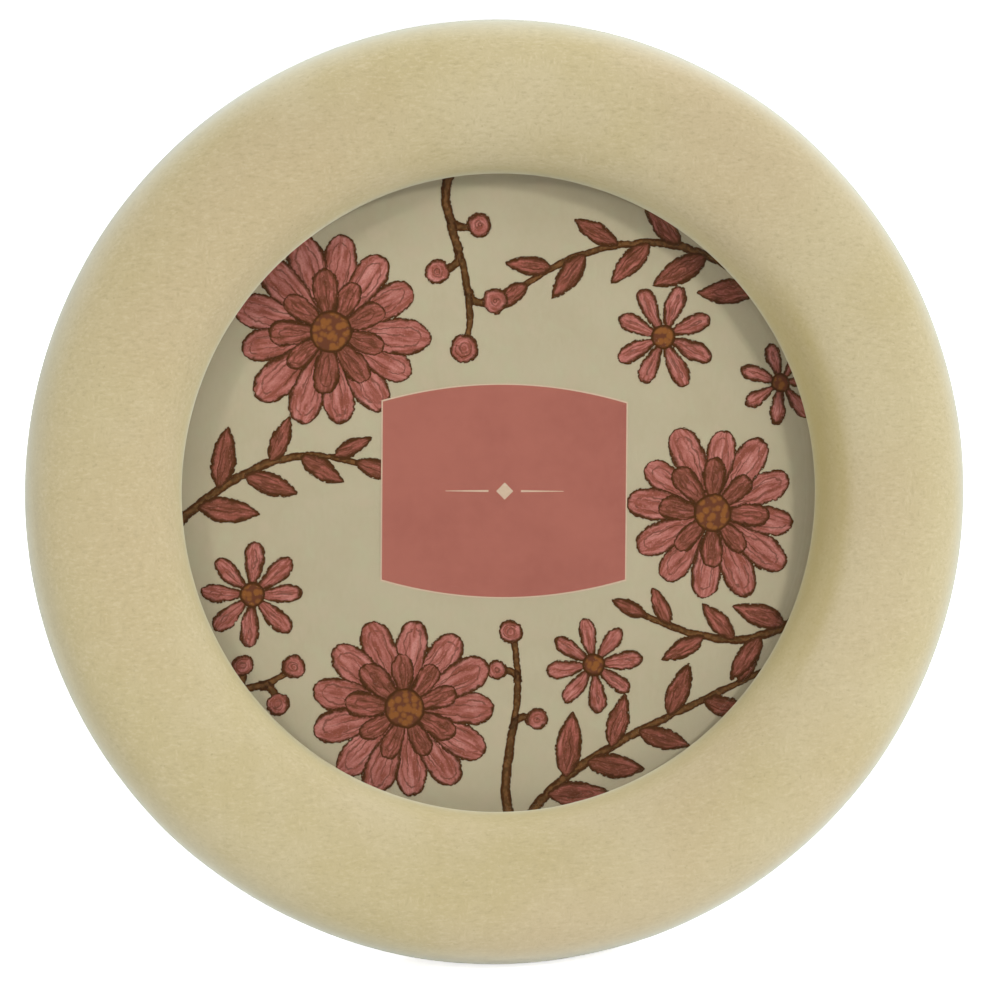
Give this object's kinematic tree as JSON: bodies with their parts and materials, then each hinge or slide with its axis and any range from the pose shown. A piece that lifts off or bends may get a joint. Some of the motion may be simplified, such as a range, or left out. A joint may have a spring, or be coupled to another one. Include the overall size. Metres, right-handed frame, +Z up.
{
  "type": "photo frame",
  "caption": "Round free-standing photo frame: a padded velvet ring around a glazed picture, a backing board held by turn buttons, and a hinged easel leg.",
  "frame": {"origin": "centre of the flat under the ring where it stands", "axes": "+Z up, -Y the way the face looks, +X to the right as seen from the front"},
  "size_m": [0.142, 0.0631, 0.1393],
  "materials": {
    "velvet": "matte",
    "foam": "matte",
    "mdf": "matte",
    "mdf_black": "matte",
    "black_liner": "matte",
    "black_velour": "matte",
    "glass": "gloss",
    "print": "satin",
    "steel": "satin"
  },
  "bodies": {
    "frame": {"velvet_cover": "velvet", "frame_core": "mdf", "foam_pad": "foam", "rear_liner": "black_liner", "glass_pane": "glass", "picture_insert": "print", "back_board": "mdf", "back_board_lining": "black_velour", "hinge_back_leaf": "steel", "hinge_back_rivets": "steel", "turn_button_screws": "steel"},
    "leg": {"easel_leg": "mdf_black", "easel_leg_lining": "black_velour", "hinge_leg_bracket": "steel", "hinge_leg_rivets": "steel", "hinge_pin": "steel"},
    "turn_button_1": {"turn_button_1": "steel"},
    "turn_button_2": {"turn_button_2": "steel"},
    "turn_button_3": {"turn_button_3": "steel"},
    "turn_button_4": {"turn_button_4": "steel"}
  },
  "joints": [
    {"name": "leg_hinge", "type": "hinge", "parent": "frame", "child": "leg", "pos_m": [0, 0.02467, 0.09233], "axis": [1, 0, 0], "range_deg": [-27, 0]},
    {"name": "button_1_turn", "type": "hinge", "parent": "frame", "child": "turn_button_1", "pos_m": [-0.04225, 0.02635, 0.10961], "axis": [0, 0.9781, -0.2079], "continuous": true},
    {"name": "button_2_turn", "type": "hinge", "parent": "frame", "child": "turn_button_2", "pos_m": [0.04225, 0.02635, 0.10961], "axis": [0, 0.9781, -0.2079], "continuous": true},
    {"name": "button_3_turn", "type": "hinge", "parent": "frame", "child": "turn_button_3", "pos_m": [0.04225, 0.00878, 0.02696], "axis": [0, 0.9781, -0.2079], "continuous": true},
    {"name": "button_4_turn", "type": "hinge", "parent": "frame", "child": "turn_button_4", "pos_m": [-0.04225, 0.00878, 0.02696], "axis": [0, 0.9781, -0.2079], "continuous": true}
  ]
}
